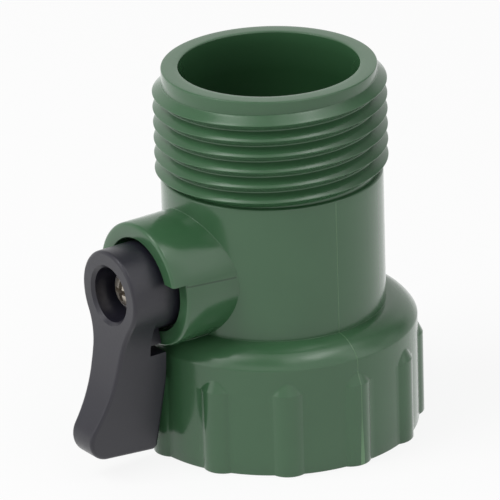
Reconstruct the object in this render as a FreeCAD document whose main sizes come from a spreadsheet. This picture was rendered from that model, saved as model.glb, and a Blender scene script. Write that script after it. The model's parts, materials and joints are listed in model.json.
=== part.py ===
import FreeCAD, Part
import math
import os
import re

import Sketcher
from FreeCAD import Placement, Rotation, Vector

# Lever-operated ball valve for a garden tap or hose line, in millimetres.
# The flow axis is +Z, the origin is the centre of the collar's lower face and
# the stem boss points along -Y. The lever is modelled open, in line with the flow.

DRIVING_SIZES = {
    # Male thread, G 3/4
    "thread_major_radius": 13.22,
    "thread_minor_radius": 12.06,
    "thread_pitch": 1.814,
    "thread_crest_loss": 0.12,
    "thread_flank_angle": 27.5,
    "thread_root_overlap": 0.06,
    "thread_start_angle": -165.0,
    "thread_start_lift": 0.23,
    "thread_turns": 5.65,
    "thread_length": 11.05,
    # Body, outside
    "rim_length": 1.45,
    "rim_chamfer": 0.35,
    "tube_radius": 12.5,
    "tube_length": 15.8,
    "tube_edge_round": 0.25,
    "collar_radius": 16.0,
    "collar_height": 14.8,
    "shoulder_drop": 2.1,
    "shoulder_round": 4.0,
    # Grip ribs of the collar, turned a little from the mould's parting plane
    "rib_count": 12,
    "rib_radius": 2.3,
    "rib_stand_out": 0.63,
    "rib_straight": 9.55,
    "rib_blend_radius": 0.4,
    "rib_turn": 2.0,
    # Stem boss, with the cut-away that the lever's lug turns in, level at its upper end
    "boss_height": 21.27,
    "boss_radius": 7.32,
    "boss_reach": 18.75,
    "boss_step": 1.75,
    "boss_step_lift": 1.97,
    "boss_blend_radius": 0.5,
    "boss_pocket_radius": 5.6,
    "boss_floor_reach": 14.8,
    # Body, inside
    "outlet_bore_radius": 10.14,
    "cavity_radius": 9.95,
    "port_radius": 5.8,
    "inlet_thread_clearance": 0.1,
    "inlet_thread_length": 6.8,
    # Hose washer in the inlet
    "washer_radius": 12.8,
    "washer_hole_radius": 8.0,
    "washer_thickness": 2.5,
    "washer_side_clearance": 0.1,
    "washer_end_clearance": 0.05,
    # Ball
    "ball_radius": 9.0,
    "ball_bore_radius": 5.5,
    "slot_depth": 2.1,
    "slot_clearance": 0.1,
    # Ball seats and the rings that back them
    "seat_clearance": 0.08,
    "seat_bore_radius": 5.8,
    "seat_face_radius": 7.6,
    "seat_lip": 1.3,
    "seat_side_clearance": 0.12,
    "seat_ring_radius": 8.6,
    "seat_ring_section": 0.6,
    "seat_ring_end_clearance": 0.01,
    "ring_groove_clearance": 0.1,
    # Retainer that closes the outlet side
    "retainer_length": 4.2,
    "retainer_bore_radius": 6.6,
    "retainer_side_clearance": 0.02,
    "retainer_notch_width": 2.0,
    "retainer_notch_depth": 1.2,
    # Stem
    "stem_radius": 2.85,
    "stem_bore_clearance": 0.05,
    "stem_flange_radius": 4.2,
    "stem_flange_start": 9.15,
    "stem_flange_thickness": 1.35,
    "stem_recess_clearance": 0.25,
    "stem_end_clearance": 0.05,
    "thrust_washer_thickness": 0.5,
    "stem_ring_section": 0.5,
    "stem_ring_squeeze": 0.02,
    "stem_ring_spacing": 1.7,
    "tang_thickness": 2.4,
    "drive_width": 4.0,
    "drive_length": 3.0,
    "drive_clearance": 0.05,
    # Lever hub
    "hub_radius": 5.1,
    "hub_floor_clearance": 0.3,
    "hub_face_reach": 22.65,
    "web_thickness": 1.3,
    "web_stem_gap": 0.1,
    "screw_hole_radius": 1.2,
    "counterbore_radius": 3.14,
    "counterbore_chamfer": 0.35,
    # Stop lug behind the blade
    "lug_radius": 6.9,
    "lug_root_depth": 0.5,
    "lug_half_angle": 15.8,
    "lug_clearance": 0.12,
    "lever_travel": 90.0,
    "stop_slack_angle": 0.8,
    # Lever blade
    "blade_back_reach": 19.25,
    "blade_step_drop": 7.4,
    "blade_upper_back_reach": 17.12,
    "blade_waist_drop": 12.2,
    "blade_heel_back_reach": 17.05,
    "blade_knee_drop": 8.5,
    "blade_knee_reach": 23.72,
    "blade_toe_drop": 18.25,
    "blade_toe_reach": 29.8,
    "blade_toe_round": 2.5,
    "blade_heel_drop": 19.4,
    "blade_heel_reach": 18.05,
    "blade_heel_round": 0.7,
    "blade_sweep_share": 0.53,
    "blade_root_half_width": 3.4,
    "blade_tip_half_width": 1.6,
    "blade_neck_round": 9.0,
    "lever_edge_round": 0.4,
    # Lever screw, a 2.2 mm pan head tapping screw
    "screw_head_radius": 2.0,
    "screw_head_height": 1.6,
    "screw_head_wall": 0.9,
    "screw_shank_radius": 1.05,
    "screw_length": 6.5,
    "screw_point_length": 1.0,
    "screw_tip_radius": 0.25,
    "screw_pilot_clearance": 0.02,
    "recess_width": 0.6,
    "recess_span": 2.3,
    "recess_depth": 1.0,
}

document = FreeCAD.newDocument("shut_off_valve")
sheet = document.addObject("Spreadsheet::Sheet", "Sizes")
for row, (name, size) in enumerate(DRIVING_SIZES.items(), start=1):
    sheet.set("A" + str(row), name.replace("_", " "))
    sheet.set("B" + str(row), str(size))
    sheet.setAlias("B" + str(row), name)
document.recompute()

# Sizes that follow from the driving ones, as expressions on the sheet
TUBE_TOP = "(collar_height + tube_length)"
BODY_TOP = "(collar_height + tube_length + thread_length + rim_length)"
COLLAR_EDGE = "(collar_height - shoulder_drop)"
INLET_RADIUS = "(thread_major_radius + inlet_thread_clearance)"
WASHER_SEAT = "(inlet_thread_length + washer_thickness + 2 * washer_end_clearance)"
SEAT_SPHERE = "(ball_radius + seat_clearance)"
SEAT_BORE_END = "sqrt((ball_radius + seat_clearance)^2 - seat_bore_radius^2)"
SEAT_FRONT = "sqrt((ball_radius + seat_clearance)^2 - seat_face_radius^2)"
SEAT_BACK = "(" + SEAT_BORE_END + " + seat_lip)"
SEAT_RADIUS = "(cavity_radius - seat_side_clearance)"
SEAT_GROOVE_HALF = "(seat_ring_section + ring_groove_clearance)"
SEAT_GROOVE_DEPTH = "(2 * seat_ring_section + seat_ring_end_clearance)"
LEDGE = "(boss_height - " + SEAT_BACK + ")"
RETAINER_BASE = "(boss_height + " + SEAT_BACK + ")"
RETAINER_TOP = "(boss_height + " + SEAT_BACK + " + retainer_length)"
STEM_BORE = "(stem_radius + stem_bore_clearance)"
FLANGE_END = "(stem_flange_start + stem_flange_thickness)"
WASHER_START = "(stem_flange_start + stem_flange_thickness + stem_end_clearance)"
RECESS_REACH = "(stem_flange_start + stem_flange_thickness + thrust_washer_thickness + 2 * stem_end_clearance)"
RECESS_RADIUS = "(stem_flange_radius + stem_recess_clearance)"
RING_MIDDLE = "((boss_floor_reach + " + RECESS_REACH + ") / 2)"
RING_CENTRE_RADIUS = "(stem_radius + stem_bore_clearance - stem_ring_section - stem_ring_squeeze)"
RING_GROOVE_FLOOR = "(stem_radius + stem_bore_clearance - 2 * stem_ring_section - 2 * stem_ring_squeeze)"
RING_GROOVE_HALF = "(stem_ring_section + ring_groove_clearance)"
HUB_REAR = "(boss_floor_reach + hub_floor_clearance)"
STEM_END = "(boss_floor_reach + hub_floor_clearance + drive_length)"
WEB_REAR = "(boss_floor_reach + hub_floor_clearance + drive_length + web_stem_gap)"
WEB_FRONT = "(boss_floor_reach + hub_floor_clearance + drive_length + web_stem_gap + web_thickness)"
LUG_BACK = "(boss_reach - boss_step + lug_clearance)"
STOP_LOW = "(-90 - lug_half_angle - stop_slack_angle)"


def cells(text):
    """The same expression, with each size's name pointed at its cell of the sheet."""
    return re.sub(r"[a-z]+(?:_[a-z]+)+", lambda word: "Sizes." + word.group(0), str(text))


def value(text):
    """The number that an expression on the sheet stands for."""
    return float(sheet.evalExpression(cells(text)))


def new_body(label):
    """An empty body whose label is the name of the piece."""
    body = document.addObject("PartDesign::Body", label)
    body.Label = label
    return body


def place_on_boss(piece):
    """Stands a piece on the stem axis: its own +Z points out of the boss and its +Y points up."""
    piece.Placement = Placement(Vector(0, 0, value("boss_height")), Rotation(Vector(1, 0, 0), 90))
    piece.setExpression("Placement.Base.z", cells("boss_height"))


def origin_feature(body, role):
    """The origin plane or axis of a body with the given role, such as XY_Plane or Z_Axis."""
    return next(item for item in body.Origin.OriginFeatures if item.Role == role)


def new_sketch(body, name, plane, lift="0", shift="0", turn="0"):
    """A sketch on an origin plane, lifted along its normal, shifted along its first axis
    and turned about its second axis."""
    sketch = body.newObject("Sketcher::SketchObject", name)
    sketch.AttachmentSupport = (origin_feature(body, plane), [""])
    sketch.MapMode = "FlatFace"
    offset = Vector(value(shift), 0, value(lift))
    sketch.AttachmentOffset = Placement(offset, Rotation(Vector(0, 1, 0), value(turn)))
    if shift != "0":
        sketch.setExpression("AttachmentOffset.Base.x", cells(shift))
    if lift != "0":
        sketch.setExpression("AttachmentOffset.Base.z", cells(lift))
    return sketch


def hold_point(sketch, side, end, x, y):
    """Fixes one end or centre of a side at the place that two expressions give."""
    for kind, text in (("DistanceX", x), ("DistanceY", y)):
        number = sketch.addConstraint(Sketcher.Constraint(kind, -1, 1, side, end, value(text)))
        if re.search("[a-z]", str(text)):
            sketch.setExpression("Constraints[" + str(number) + "]", cells(text))


def arc_between(start, end, radius):
    """The shorter arc from start to end. A positive radius turns left on the way."""
    chord = end.sub(start)
    half = chord.Length / 2
    middle = start.add(chord * 0.5)
    left = Vector(-chord.y, chord.x, 0).normalize()
    reach = math.sqrt(radius * radius - half * half)
    side = 1 if radius > 0 else -1
    centre = middle.add(left * (side * reach))
    first = math.atan2(start.y - centre.y, start.x - centre.x)
    last = math.atan2(end.y - centre.y, end.x - centre.x)
    if radius < 0:
        first, last = last, first
    return Part.ArcOfCircle(Part.Circle(centre, Vector(0, 0, 1), abs(radius)), first, last)


def add_outline(sketch, corners):
    """A closed outline through corners (x, y) or (x, y, radius), all of them expressions.
    A radius makes the side that leaves its corner an arc, which turns left where it is
    positive and right where it is negative."""
    places = [Vector(value(corner[0]), value(corner[1]), 0) for corner in corners]
    sides = []
    for number, corner in enumerate(corners):
        start = places[number]
        end = places[(number + 1) % len(corners)]
        if len(corner) == 3:
            radius = value(corner[2])
            side = sketch.addGeometry(arc_between(start, end, radius), False)
            begin, finish = (1, 2) if radius > 0 else (2, 1)
        else:
            side = sketch.addGeometry(Part.LineSegment(start, end), False)
            begin, finish = 1, 2
        sides.append((side, begin, finish))
    for number, corner in enumerate(corners):
        side, begin, finish = sides[number]
        following = sides[(number + 1) % len(corners)]
        sketch.addConstraint(Sketcher.Constraint("Coincident", side, finish, following[0], following[1]))
        hold_point(sketch, side, begin, corner[0], corner[1])
        if len(corner) == 3:
            size = value(corner[2])
            held = sketch.addConstraint(Sketcher.Constraint("Radius", side, abs(size)))
            if re.search("[a-z]", str(corner[2])):
                sketch.setExpression("Constraints[" + str(held) + "]", cells("abs(" + corner[2] + ")"))
    return sketch


def add_circle(sketch, x, y, radius):
    """A circle whose centre and radius are expressions."""
    centre = Vector(value(x), value(y), 0)
    side = sketch.addGeometry(Part.Circle(centre, Vector(0, 0, 1), value(radius)), False)
    hold_point(sketch, side, 3, x, y)
    held = sketch.addConstraint(Sketcher.Constraint("Radius", side, value(radius)))
    sketch.setExpression("Constraints[" + str(held) + "]", cells(radius))
    return sketch


def add_rectangle(sketch, left, bottom, right, top):
    """An upright rectangle between two corners."""
    return add_outline(sketch, [(left, bottom), (right, bottom), (right, top), (left, top)])


def check_change(feature, before, grows, name):
    """Stops the build where a feature failed or changed the volume the wrong way."""
    if "Invalid" in feature.State or "Error" in feature.State or feature.Shape.isNull():
        raise RuntimeError(name + " failed: " + str(feature.State))
    change = feature.Shape.Volume - before
    if (change > 1e-6) != grows:
        raise RuntimeError(name + " changed the volume by " + str(change))
    return feature


def volume_so_far(body):
    """The volume of what a body holds up to now."""
    document.recompute()
    return 0.0 if body.Shape.isNull() else body.Shape.Volume


def add_feature(body, kind, name, sketch, grows, settings, bound):
    """A sketch-based feature: settings are plain properties, bound ones are expressions."""
    before = volume_so_far(body)
    feature = body.newObject("PartDesign::" + kind, name)
    feature.Profile = sketch
    for key, setting in settings.items():
        setattr(feature, key, setting)
    for key, text in bound.items():
        feature.setExpression(key, cells(text))
    document.recompute()
    return check_change(feature, before, grows, name)


def pad(body, name, sketch, length, both_ways=False):
    """Material along the sketch's normal."""
    settings = {"Length": value(length), "SideType": "Symmetric" if both_ways else "One side"}
    return add_feature(body, "Pad", name, sketch, True, settings, {"Length": length})


def pocket(body, name, sketch, depth, reverse=False):
    """A cut against the sketch's normal, or along it where reverse is set."""
    settings = {"Length": value(depth), "Reversed": reverse}
    return add_feature(body, "Pocket", name, sketch, False, settings, {"Length": depth})


def pocket_both_ways(body, name, sketch, depth):
    """A cut to both sides of the sketch, of the given depth in all."""
    settings = {"Length": value(depth), "SideType": "Symmetric"}
    return add_feature(body, "Pocket", name, sketch, False, settings, {"Length": depth})


def revolve(body, name, sketch):
    """Material turned once round the sketch's upright axis."""
    return add_feature(body, "Revolution", name, sketch, True,
                       {"ReferenceAxis": (sketch, ["V_Axis"]), "Angle": 360.0}, {})


def groove(body, name, sketch):
    """A cut turned once round the sketch's upright axis."""
    return add_feature(body, "Groove", name, sketch, False,
                       {"ReferenceAxis": (sketch, ["V_Axis"]), "Angle": 360.0}, {})


def pattern_round(body, name, feature, axis, count, grows=True):
    """Equal turns of one feature about an axis of the body."""
    before = volume_so_far(body)
    pattern = body.newObject("PartDesign::PolarPattern", name)
    pattern.Originals = [feature]
    pattern.Axis = (origin_feature(body, axis), [""])
    pattern.Angle = 360.0
    pattern.Occurrences = int(value(count))
    if re.search("[a-z]", count):
        pattern.setExpression("Occurrences", cells(count))
    body.Tip = pattern
    document.recompute()
    return check_change(pattern, before, grows, name)


def edges_where(feature, wanted):
    """The names of a feature's edges for which a test on the edge holds."""
    return ["Edge" + str(number) for number, edge in enumerate(feature.Shape.Edges, start=1) if wanted(edge)]


def near(first, second, slack=0.01):
    """Whether two numbers are the same within a hundredth of a millimetre."""
    return abs(first - second) < slack


def is_ring(edge, radius, height):
    """Whether an edge lies on a circle of this radius about the Z axis at this height."""
    if edge.Curve.TypeId != "Part::GeomCircle":
        return False
    centre = edge.Curve.Center
    on_axis = near(centre.x, 0) and near(centre.y, 0)
    return on_axis and near(edge.Curve.Radius, radius) and near(centre.z, height)


def middle_of(edge):
    """The point half way along an edge."""
    return edge.valueAt((edge.FirstParameter + edge.LastParameter) / 2)


def is_rib_edge(edge):
    """Whether an edge is where a rib rises from the collar's wall."""
    points = [vertex.Point for vertex in edge.Vertexes] + [middle_of(edge)]
    on_wall = all(near(math.hypot(point.x, point.y), value("collar_radius")) for point in points)
    middle = points[-1]
    return on_wall and 0.1 < middle.z < value(COLLAR_EDGE) - 0.1


def is_boss_edge(edge):
    """Whether an edge is where the stem boss leaves the tube or the shoulder."""
    middle = middle_of(edge)
    on_boss = near(math.hypot(middle.x, middle.z - value("boss_height")), value("boss_radius"))
    return on_boss and -value("collar_radius") < middle.y < -0.5 * value("tube_radius")


def is_neck_edge(edge):
    """Whether a lever edge runs along its own Z axis where a blade side meets the hub's rim."""
    points = [vertex.Point for vertex in edge.Vertexes]
    if len(points) != 2 or not near(points[0].x, points[1].x) or not near(points[0].y, points[1].y):
        return False
    on_rim = near(math.hypot(points[0].x, points[0].y), value("hub_radius"))
    return on_rim and points[0].y < -0.5 * value("hub_radius")


def is_cross_edge(edge, height, reach):
    """Whether a lever edge runs straight across it at this height and reach."""
    points = [vertex.Point for vertex in edge.Vertexes]
    return len(points) == 2 and all(near(point.y, value(height)) and near(point.z, value(reach))
                                    for point in points)


def dress(body, kind, name, wanted, key, size):
    """A fillet or chamfer on the edges of the body's tip for which a test holds."""
    document.recompute()
    tip = body.Tip
    names = edges_where(tip, wanted)
    if not names:
        raise RuntimeError(name + " finds no edge")
    feature = body.newObject("PartDesign::" + kind, name)
    feature.Base = (tip, names)
    setattr(feature, key, value(size))
    feature.setExpression(key, cells(size))
    document.recompute()
    if "Invalid" in feature.State or "Error" in feature.State or feature.Shape.isNull():
        raise RuntimeError(name + " failed: " + str(feature.State))
    return feature


def make_ring(label, ring_radius, section_radius, height, on_boss=False):
    """A round-section sealing ring about the flow axis, or about the stem axis."""
    ring = document.addObject("Part::Torus", label)
    ring.Label = label
    ring.setExpression("Radius1", cells(ring_radius))
    ring.setExpression("Radius2", cells(section_radius))
    if on_boss:
        ring.Placement = Placement(Vector(0, 0, 0), Rotation(Vector(1, 0, 0), 90))
        ring.setExpression("Placement.Base.y", cells("-(" + height + ")"))
        ring.setExpression("Placement.Base.z", cells("boss_height"))
    else:
        ring.setExpression("Placement.Base.z", cells(height))
    return ring


def make_valve_body():
    """The moulded body: collar, tube, male thread and stem boss in one piece."""
    body = new_body("valve_body")

    outside = new_sketch(body, "outer_form", "XZ_Plane")
    add_outline(outside, [
        ("0", "0"),
        ("collar_radius", "0"),
        ("collar_radius", COLLAR_EDGE, "shoulder_round"),
        ("tube_radius", "collar_height"),
        ("tube_radius", TUBE_TOP),
        ("thread_minor_radius", TUBE_TOP),
        ("thread_minor_radius", BODY_TOP),
        ("0", BODY_TOP),
    ])
    revolve(body, "outer_turn", outside)

    rib_axis_reach = "(collar_radius + rib_stand_out - rib_radius)"
    rib = new_sketch(body, "rib_form", "XZ_Plane", lift=rib_axis_reach + " * sin(rib_turn)",
                     shift=rib_axis_reach + " * cos(rib_turn)")
    add_outline(rib, [
        ("0", "0"),
        ("rib_radius", "0"),
        ("rib_radius", "rib_straight", "rib_radius"),
        ("0", "rib_straight + rib_radius"),
    ])
    first_rib = revolve(body, "rib", rib)
    pattern_round(body, "ribs", first_rib, "Z_Axis", "rib_count")
    dress(body, "Fillet", "rib_blend", is_rib_edge, "Radius", "rib_blend_radius")

    boss = new_sketch(body, "boss_form", "XZ_Plane")
    add_circle(boss, "0", "boss_height", "boss_radius")
    pad(body, "boss", boss, "boss_reach")
    dress(body, "Fillet", "boss_blend", is_boss_edge, "Radius", "boss_blend_radius")
    dress(body, "Fillet", "tube_edge", lambda edge: is_ring(edge, value("tube_radius"), value(TUBE_TOP)),
          "Radius", "tube_edge_round")

    ridge = new_sketch(body, "thread_form", "XZ_Plane", turn="thread_start_angle")
    foot_radius = "(thread_minor_radius - thread_root_overlap)"
    crest_radius = "(thread_major_radius - thread_crest_loss)"
    start = "(" + TUBE_TOP + " + thread_start_lift)"
    pitch_radius = "((thread_major_radius + thread_minor_radius) / 2)"
    flank = "tan(thread_flank_angle)"
    foot_half = "(thread_pitch / 4 + (" + pitch_radius + " - " + foot_radius + ") * " + flank + ")"
    crest_half = "(thread_pitch / 4 - (" + crest_radius + " - " + pitch_radius + ") * " + flank + ")"
    add_outline(ridge, [
        (foot_radius, start + " - " + foot_half),
        (crest_radius, start + " - " + crest_half),
        (crest_radius, start + " + " + crest_half),
        (foot_radius, start + " + " + foot_half),
    ])
    add_feature(body, "AdditiveHelix", "thread", ridge, True,
                {"ReferenceAxis": (ridge, ["V_Axis"]), "Mode": 0, "Angle": 0, "Growth": 0,
                 "LeftHanded": False, "Reversed": False},
                {"Pitch": "thread_pitch", "Height": "thread_pitch * thread_turns"})

    inside = new_sketch(body, "inner_form", "XZ_Plane")
    add_outline(inside, [
        ("0", "0"),
        (INLET_RADIUS, "0"),
        (INLET_RADIUS, "inlet_thread_length"),
        ("washer_radius + washer_side_clearance", "inlet_thread_length"),
        ("washer_radius + washer_side_clearance", WASHER_SEAT),
        ("port_radius", WASHER_SEAT),
        ("port_radius", LEDGE),
        ("cavity_radius", LEDGE),
        ("cavity_radius", RETAINER_TOP),
        ("outlet_bore_radius", RETAINER_TOP),
        ("outlet_bore_radius", BODY_TOP),
        ("0", BODY_TOP),
    ])
    groove(body, "waterway", inside)

    recess = new_sketch(body, "stem_recess_form", "XZ_Plane", lift=RECESS_REACH)
    add_circle(recess, "0", "boss_height", RECESS_RADIUS)
    pocket(body, "stem_recess", recess, RECESS_REACH)

    stem_hole = new_sketch(body, "stem_bore_form", "XZ_Plane", lift="boss_reach")
    add_circle(stem_hole, "0", "boss_height", STEM_BORE)
    pocket(body, "stem_bore", stem_hole, "boss_reach")

    hub_pocket = new_sketch(body, "hub_pocket_form", "XZ_Plane", lift="boss_reach")
    add_circle(hub_pocket, "0", "boss_height", "boss_pocket_radius")
    pocket(body, "hub_pocket", hub_pocket, "boss_reach - boss_floor_reach")

    cut_away = new_sketch(body, "cut_away_form", "XZ_Plane", lift="boss_reach")
    reach = "2 * boss_radius"
    add_outline(cut_away, [
        ("0", "boss_height"),
        (reach + " * cos(" + STOP_LOW + ")", "boss_height + " + reach + " * sin(" + STOP_LOW + ")"),
        (reach, "boss_height - " + reach),
        (reach, "boss_height + boss_step_lift"),
        ("0", "boss_height + boss_step_lift"),
    ])
    pocket(body, "cut_away", cut_away, "boss_step")

    dress(body, "Chamfer", "rim_edge",
          lambda edge: is_ring(edge, value("thread_minor_radius"), value(BODY_TOP)), "Size", "rim_chamfer")
    return body


def make_seat(label, upper):
    """A ball seat: a ring whose inner edge is hollowed to the ball, with a ring groove at its back."""
    seat = new_body(label)
    sign = "" if upper else "-"
    profile = new_sketch(seat, label + "_form", "XZ_Plane")
    add_outline(profile, [
        ("seat_bore_radius", sign + SEAT_BACK),
        (SEAT_RADIUS, sign + SEAT_BACK),
        (SEAT_RADIUS, sign + "(" + SEAT_FRONT + ")"),
        ("seat_face_radius", sign + "(" + SEAT_FRONT + ")", ("" if upper else "-") + SEAT_SPHERE),
        ("seat_bore_radius", sign + "(" + SEAT_BORE_END + ")"),
    ])
    revolve(seat, label + "_turn", profile)
    channel = new_sketch(seat, label + "_groove_form", "XZ_Plane")
    floor = sign + "(" + SEAT_BACK + " - " + SEAT_GROOVE_DEPTH + ")"
    add_rectangle(channel, "seat_ring_radius - " + SEAT_GROOVE_HALF, floor,
                  "seat_ring_radius + " + SEAT_GROOVE_HALF, sign + SEAT_BACK)
    groove(seat, label + "_groove", channel)
    seat.setExpression("Placement.Base.z", cells("boss_height"))
    return seat


def make_retainer():
    """The ring that closes the ball chamber, with notches for its driver in the upper face."""
    retainer = new_body("seat_retainer")
    profile = new_sketch(retainer, "retainer_form", "XZ_Plane")
    add_rectangle(profile, "retainer_bore_radius", "0",
                  "cavity_radius - retainer_side_clearance", "retainer_length")
    revolve(retainer, "retainer_turn", profile)
    notch = new_sketch(retainer, "retainer_notch_form", "YZ_Plane")
    add_rectangle(notch, "-retainer_notch_width / 2", "retainer_length - retainer_notch_depth",
                  "retainer_notch_width / 2", "retainer_length")
    pocket_both_ways(retainer, "retainer_notch", notch, "4 * cavity_radius")
    retainer.setExpression("Placement.Base.z", cells(RETAINER_BASE))
    return retainer


def make_hose_washer():
    """The flat rubber washer at the head of the inlet thread."""
    washer = new_body("hose_washer")
    profile = new_sketch(washer, "hose_washer_form", "XZ_Plane")
    low = "(inlet_thread_length + washer_end_clearance)"
    add_rectangle(profile, "washer_hole_radius", low, "washer_radius", low + " + washer_thickness")
    revolve(washer, "hose_washer_turn", profile)
    return washer


def make_ball():
    """The ball, bored along the flow and slotted across for the stem's tang."""
    ball = new_body("ball")
    profile = new_sketch(ball, "ball_form", "XZ_Plane")
    half_bore = "sqrt(ball_radius^2 - ball_bore_radius^2)"
    add_outline(profile, [
        ("ball_bore_radius", "-" + half_bore, "ball_radius"),
        ("ball_bore_radius", half_bore),
    ])
    revolve(ball, "ball_turn", profile)
    slot = new_sketch(ball, "ball_slot_form", "XZ_Plane", lift="ball_radius")
    half_slot = "(tang_thickness / 2 + slot_clearance)"
    add_rectangle(slot, "-ball_radius", "-" + half_slot, "ball_radius", half_slot)
    pocket(ball, "ball_slot", slot, "slot_depth")
    ball.setExpression("Placement.Base.z", cells("boss_height"))
    return ball


def make_stem():
    """The stem: tang, flange, shaft with two ring grooves and a square that drives the lever."""
    stem = new_body("stem")
    profile = new_sketch(stem, "stem_form", "XZ_Plane")
    corners = [("0", "stem_flange_start"), ("stem_flange_radius", "stem_flange_start"),
               ("stem_flange_radius", FLANGE_END), ("stem_radius", FLANGE_END)]
    for side in ("- stem_ring_spacing / 2", "+ stem_ring_spacing / 2"):
        middle = "(" + RING_MIDDLE + side + ")"
        corners += [("stem_radius", middle + " - " + RING_GROOVE_HALF),
                    (RING_GROOVE_FLOOR, middle + " - " + RING_GROOVE_HALF),
                    (RING_GROOVE_FLOOR, middle + " + " + RING_GROOVE_HALF),
                    ("stem_radius", middle + " + " + RING_GROOVE_HALF)]
    corners += [("stem_radius", STEM_END), ("0", STEM_END)]
    add_outline(profile, corners)
    revolve(stem, "stem_turn", profile)

    tang = new_sketch(stem, "tang_form", "XY_Plane", lift="ball_radius - slot_depth + slot_clearance")
    half_reach = "stem_flange_radius"
    add_rectangle(tang, "-" + half_reach, "-tang_thickness / 2", half_reach, "tang_thickness / 2")
    pad(stem, "tang", tang, "stem_flange_start - (ball_radius - slot_depth + slot_clearance)")

    square = new_sketch(stem, "square_form", "XY_Plane", lift=STEM_END)
    half_square = "(drive_width / 2)"
    add_rectangle(square, "-2 * stem_radius", "-2 * stem_radius", "2 * stem_radius", "2 * stem_radius")
    add_rectangle(square, "-" + half_square, "-" + half_square, half_square, half_square)
    pocket(stem, "square", square, "drive_length")

    pilot = new_sketch(stem, "pilot_form", "XY_Plane", lift=STEM_END)
    add_circle(pilot, "0", "0", "screw_shank_radius + screw_pilot_clearance")
    depth = "screw_length - web_thickness - web_stem_gap + 2 * screw_pilot_clearance"
    pocket(stem, "pilot", pilot, depth)
    place_on_boss(stem)
    return stem


def make_stem_washer():
    """The thin washer between the stem's flange and the body."""
    washer = new_body("stem_washer")
    profile = new_sketch(washer, "stem_washer_form", "XZ_Plane")
    add_rectangle(profile, STEM_BORE, WASHER_START, "stem_flange_radius",
                  WASHER_START + " + thrust_washer_thickness")
    revolve(washer, "stem_washer_turn", profile)
    place_on_boss(washer)
    return washer


def make_lever():
    """The lever: hub, blade that sweeps out to its toe, stop lug, screw seat and drive socket."""
    lever = new_body("lever")
    overrun = 1.0
    front = "blade_toe_reach + 2 * blade_toe_round"

    hub = new_sketch(lever, "hub_front", "XY_Plane", lift="blade_heel_back_reach - 1")
    add_circle(hub, "0", "0", "hub_radius")
    pad(lever, "hub_block", hub, front + " - blade_heel_back_reach + 1")
    blade = new_sketch(lever, "blade_front", "XY_Plane", lift="blade_heel_back_reach - 1")
    end_drop = "(blade_heel_drop + " + str(overrun) + ")"
    add_outline(blade, [
        ("-blade_root_half_width", "0"),
        ("-blade_tip_half_width", "-" + end_drop),
        ("blade_tip_half_width", "-" + end_drop),
        ("blade_root_half_width", "0"),
    ])
    pad(lever, "blade_block", blade, front + " - blade_heel_back_reach + 1")
    dress(lever, "Fillet", "neck", is_neck_edge, "Radius", "blade_neck_round")

    side_view = new_sketch(lever, "lever_side", "YZ_Plane")
    add_rectangle(side_view, "-2 * blade_toe_drop", "0", "2 * hub_radius", "2 * blade_toe_reach")
    sweep_run = "(blade_knee_reach - hub_face_reach)"
    first_sweep = "((" + sweep_run + "^2 + blade_knee_drop^2) / (2 * " + sweep_run + "))"
    lower_sweep = "(blade_sweep_share * " + first_sweep + ")"
    add_outline(side_view, [
        ("1.5 * hub_radius", "blade_back_reach"),
        ("-blade_step_drop", "blade_back_reach"),
        ("-blade_step_drop", "blade_upper_back_reach"),
        ("-blade_waist_drop", "blade_heel_back_reach"),
        ("-blade_heel_drop", "blade_heel_reach"),
        ("-blade_toe_drop", "blade_toe_reach", lower_sweep),
        ("-blade_knee_drop", "blade_knee_reach", first_sweep),
        ("0", "hub_face_reach"),
        ("1.5 * hub_radius", "hub_face_reach"),
    ])
    pocket_both_ways(lever, "lever_profile", side_view, "6 * hub_radius")
    dress(lever, "Fillet", "toe", lambda edge: is_cross_edge(edge, "-blade_toe_drop", "blade_toe_reach"),
          "Radius", "blade_toe_round")
    dress(lever, "Fillet", "heel", lambda edge: is_cross_edge(edge, "-blade_heel_drop", "blade_heel_reach"),
          "Radius", "blade_heel_round")

    dress(lever, "Fillet", "front_edge",
          lambda edge: is_ring(edge, value("hub_radius"), value("hub_face_reach")), "Radius", "lever_edge_round")

    rear_hub = new_sketch(lever, "rear_hub_form", "XY_Plane", lift=HUB_REAR)
    add_circle(rear_hub, "0", "0", "hub_radius")
    pad(lever, "rear_hub", rear_hub, "blade_back_reach - " + HUB_REAR)

    lug = new_sketch(lever, "lug_form", "XY_Plane", lift=LUG_BACK)
    sine = "sin(lug_half_angle)"
    cosine = "cos(lug_half_angle)"
    root = "(hub_radius - lug_root_depth)"
    add_outline(lug, [
        ("-" + root + " * " + sine, "-" + root + " * " + cosine),
        ("-lug_radius * " + sine, "-lug_radius * " + cosine, "lug_radius"),
        ("lug_radius * " + sine, "-lug_radius * " + cosine),
        (root + " * " + sine, "-" + root + " * " + cosine),
    ])
    pad(lever, "lug", lug, "blade_back_reach - " + LUG_BACK)

    counterbore = new_sketch(lever, "counterbore_form", "XY_Plane", lift="hub_face_reach + " + str(overrun))
    add_circle(counterbore, "0", "0", "counterbore_radius")
    pocket(lever, "counterbore", counterbore, "hub_face_reach + " + str(overrun) + " - " + WEB_FRONT)
    dress(lever, "Chamfer", "counterbore_edge",
          lambda edge: is_ring(edge, value("counterbore_radius"), value("hub_face_reach")),
          "Size", "counterbore_chamfer")
    socket = new_sketch(lever, "socket_form", "XY_Plane", lift=WEB_REAR)
    half_socket = "(drive_width / 2 + drive_clearance)"
    add_rectangle(socket, "-" + half_socket, "-" + half_socket, half_socket, half_socket)
    pocket(lever, "socket", socket, WEB_REAR + " - " + HUB_REAR)
    hole = new_sketch(lever, "screw_hole_form", "XY_Plane", lift=WEB_FRONT)
    add_circle(hole, "0", "0", "screw_hole_radius")
    pocket(lever, "screw_hole", hole, "web_thickness")
    place_on_boss(lever)
    return lever


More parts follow.
